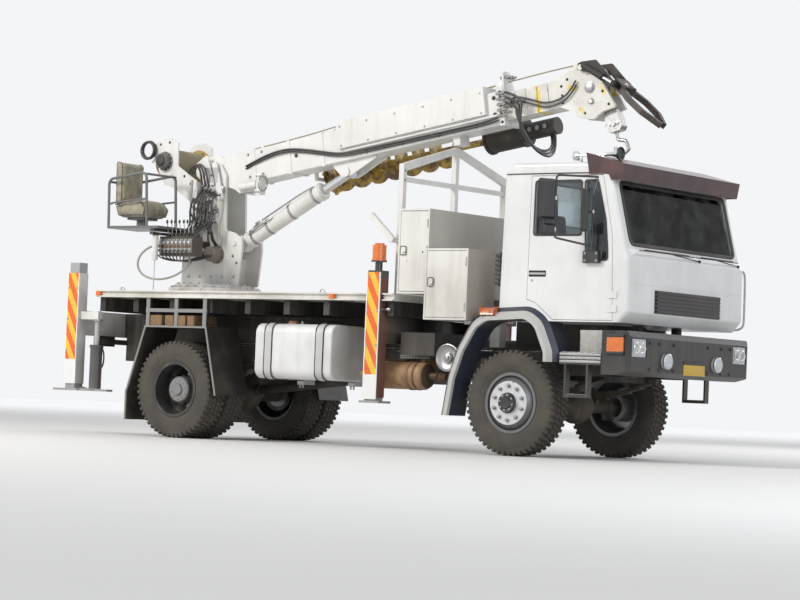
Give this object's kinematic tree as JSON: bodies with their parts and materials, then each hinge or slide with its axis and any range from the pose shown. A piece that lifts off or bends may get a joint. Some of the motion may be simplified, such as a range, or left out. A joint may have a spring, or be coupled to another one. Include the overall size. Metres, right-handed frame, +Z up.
{
  "type": "digger derrick truck",
  "caption": "Two-axle truck with a flat deck, slewing telescopic digger boom, side auger, pole claw, operator's seat and vertical outriggers.",
  "frame": {"origin": "on the ground, in the middle of the truck's length and width", "axes": "+X forward, +Y to the truck's left, +Z up"},
  "size_m": [7.83, 3.1558, 4.1746],
  "materials": {
    "white_paint": "gloss",
    "black_paint": "satin",
    "grey_paint": "satin",
    "rust": "matte",
    "stripes": "gloss",
    "steel": "worn",
    "chrome": "polished",
    "tyre": "matte",
    "silver": "satin",
    "plastic": "matte",
    "lens": "gloss",
    "glass": "clear",
    "seat": "worn",
    "hose": "matte",
    "cast": "rough",
    "yellow": "worn"
  },
  "bodies": {
    "chassis": {"chassis_frame": "black_paint", "subframe": "black_paint", "outrigger_housings": "white_paint", "warning_boards": "stripes", "engine_and_gearbox": "cast", "axles": "black_paint", "leaf_springs": "black_paint", "fuel_tank": "white_paint", "muffler": "rust", "battery_box": "black_paint", "front_mudguards": "plastic", "rear_mudguards": "black_paint", "front_bumper": "black_paint", "lamps": "lens", "deck": "white_paint", "cabinet": "white_paint", "headboard": "white_paint", "cab_shell": "white_paint", "cab_roof": "white_paint", "cab_glass": "glass", "cab_trim": "plastic", "cab_interior": "seat"},
    "steering_wheel": {"steering_wheel": "plastic"},
    "knuckle_right": {"knuckle_right": "cast"},
    "front_wheel_right": {"front_rim_right": "silver", "front_tyre_right": "tyre"},
    "rear_wheels_right": {"rear_rims_right": "black_paint", "rear_tyres_right": "tyre"},
    "door_right": {"door_right": "white_paint", "door_glass_right": "glass"},
    "cabinet_door_right": {"cabinet_door_right": "white_paint"},
    "outrigger_leg_front_right": {"outrigger_leg_front_right": "grey_paint"},
    "outrigger_leg_rear_right": {"outrigger_leg_rear_right": "grey_paint"},
    "knuckle_left": {"knuckle_left": "cast"},
    "front_wheel_left": {"front_rim_left": "silver", "front_tyre_left": "tyre"},
    "rear_wheels_left": {"rear_rims_left": "black_paint", "rear_tyres_left": "tyre"},
    "door_left": {"door_left": "white_paint", "door_glass_left": "glass"},
    "cabinet_door_left": {"cabinet_door_left": "white_paint"},
    "outrigger_leg_front_left": {"outrigger_leg_front_left": "grey_paint"},
    "outrigger_leg_rear_left": {"outrigger_leg_rear_left": "grey_paint"},
    "box_door": {"box_door": "white_paint"},
    "turret": {"turret": "white_paint", "operator_platform": "grey_paint", "operator_seat": "seat", "valve_bank": "cast", "hose_loop": "hose"},
    "winch_drum": {"winch_drum": "yellow"},
    "boom": {"boom": "white_paint", "auger_drive": "cast"},
    "lift_barrel": {"lift_barrel": "white_paint"},
    "lift_rod": {"lift_rod": "chrome"},
    "inner_boom": {"inner_boom": "white_paint", "hook_block": "steel"},
    "claw": {"claw_frame": "cast"},
    "claw_arm_right": {"claw_arm_right": "cast"},
    "claw_arm_left": {"claw_arm_left": "cast"},
    "auger": {"auger": "yellow"}
  },
  "joints": [
    {"name": "steer_right", "type": "hinge", "parent": "chassis", "child": "knuckle_right", "pos_m": [2.415, -0.82, 0.54], "axis": [0, 0, 1], "range_deg": [-32, 32]},
    {"name": "front_wheel_right_spin", "type": "hinge", "parent": "knuckle_right", "child": "front_wheel_right", "pos_m": [2.415, -0.98, 0.54], "axis": [0, 1, 0], "continuous": true},
    {"name": "rear_wheels_right_spin", "type": "hinge", "parent": "chassis", "child": "rear_wheels_right", "pos_m": [-2.085, -0.88, 0.54], "axis": [0, 1, 0], "continuous": true},
    {"name": "door_right_hinge", "type": "hinge", "parent": "chassis", "child": "door_right", "pos_m": [3.621, -1.157, 1.9], "axis": [0, 0, 1], "range_deg": [0, 70]},
    {"name": "cabinet_door_right_hinge", "type": "hinge", "parent": "chassis", "child": "cabinet_door_right", "pos_m": [1.3547, -1.2, 2.1], "axis": [0, 0, 1], "range_deg": [0, 110]},
    {"name": "outrigger_front_right_slide", "type": "slide", "parent": "chassis", "child": "outrigger_leg_front_right", "axis": [0, 0, -1], "range_m": [0, 0.55]},
    {"name": "outrigger_rear_right_slide", "type": "slide", "parent": "chassis", "child": "outrigger_leg_rear_right", "axis": [0, 0, -1], "range_m": [0, 0.55]},
    {"name": "steer_left", "type": "hinge", "parent": "chassis", "child": "knuckle_left", "pos_m": [2.415, 0.82, 0.54], "axis": [0, 0, 1], "range_deg": [-32, 32]},
    {"name": "front_wheel_left_spin", "type": "hinge", "parent": "knuckle_left", "child": "front_wheel_left", "pos_m": [2.415, 0.98, 0.54], "axis": [0, 1, 0], "continuous": true},
    {"name": "rear_wheels_left_spin", "type": "hinge", "parent": "chassis", "child": "rear_wheels_left", "pos_m": [-2.085, 0.88, 0.54], "axis": [0, 1, 0], "continuous": true},
    {"name": "door_left_hinge", "type": "hinge", "parent": "chassis", "child": "door_left", "pos_m": [3.621, 1.157, 1.9], "axis": [0, 0, -1], "range_deg": [0, 70]},
    {"name": "cabinet_door_left_hinge", "type": "hinge", "parent": "chassis", "child": "cabinet_door_left", "pos_m": [1.3547, 1.2, 2.1], "axis": [0, 0, -1], "range_deg": [0, 110]},
    {"name": "outrigger_front_left_slide", "type": "slide", "parent": "chassis", "child": "outrigger_leg_front_left", "axis": [0, 0, -1], "range_m": [0, 0.55]},
    {"name": "outrigger_rear_left_slide", "type": "slide", "parent": "chassis", "child": "outrigger_leg_rear_left", "axis": [0, 0, -1], "range_m": [0, 0.55]},
    {"name": "box_door_hinge", "type": "hinge", "parent": "chassis", "child": "box_door", "pos_m": [1.8997, -1.25, 1.75], "axis": [0, 0, 1], "range_deg": [0, 110]},
    {"name": "steering_wheel_turn", "type": "hinge", "parent": "chassis", "child": "steering_wheel", "pos_m": [3.295, -0.64, 2.097], "axis": [-0.9, 0, 0.436], "range_deg": [-560, 560]},
    {"name": "turret_slew", "type": "hinge", "parent": "chassis", "child": "turret", "pos_m": [-2.555, 0, 1.72], "axis": [0, 0, 1], "continuous": true},
    {"name": "winch_drum_spin", "type": "hinge", "parent": "turret", "child": "winch_drum", "pos_m": [-3.14, 0, 3.2], "axis": [0, 1, 0], "continuous": true},
    {"name": "boom_lift", "type": "hinge", "parent": "turret", "child": "boom", "pos_m": [-2.485, 0, 3.03], "axis": [0, -1, 0], "range_deg": [0, 65]},
    {"name": "lift_barrel_swing", "type": "hinge", "parent": "turret", "child": "lift_barrel", "pos_m": [-2.135, 0, 2.25], "axis": [0, -1, 0], "range_deg": [0, 60]},
    {"name": "lift_rod_slide", "type": "slide", "parent": "lift_barrel", "child": "lift_rod", "axis": [0.8821, 0, 0.4711], "range_m": [0, 0.9]},
    {"name": "boom_extend", "type": "slide", "parent": "boom", "child": "inner_boom", "axis": [0.9869, 0, 0.1616], "range_m": [0, 2.4]},
    {"name": "claw_tilt", "type": "hinge", "parent": "inner_boom", "child": "claw", "pos_m": [2.49405, 0, 4.09058], "axis": [0, -1, 0], "range_deg": [0, 90]},
    {"name": "claw_arm_right_swing", "type": "hinge", "parent": "claw", "child": "claw_arm_right", "pos_m": [2.96595, -0.06, 3.85644], "axis": [-0.6521, 0, -0.7581], "range_deg": [0, 35]},
    {"name": "claw_arm_left_swing", "type": "hinge", "parent": "claw", "child": "claw_arm_left", "pos_m": [2.96595, 0.06, 3.85644], "axis": [0.6521, 0, 0.7581], "range_deg": [0, 35]},
    {"name": "auger_spin", "type": "hinge", "parent": "boom", "child": "auger", "pos_m": [-0.48382, 0.455, 3.18544], "axis": [0.9869, 0, 0.1616], "continuous": true}
  ],
  "couplings": [
    {"joint": "steer_left", "follows": "steer_right", "ratio": 1},
    {"joint": "steering_wheel_turn", "follows": "steer_right", "ratio": 17},
    {"joint": "lift_barrel_swing", "follows": "boom_lift", "ratio": 0.82},
    {"joint": "lift_rod_slide", "follows": "boom_lift", "m_per_rad": 0.725},
    {"joint": "claw_arm_left_swing", "follows": "claw_arm_right_swing", "ratio": 1}
  ]
}
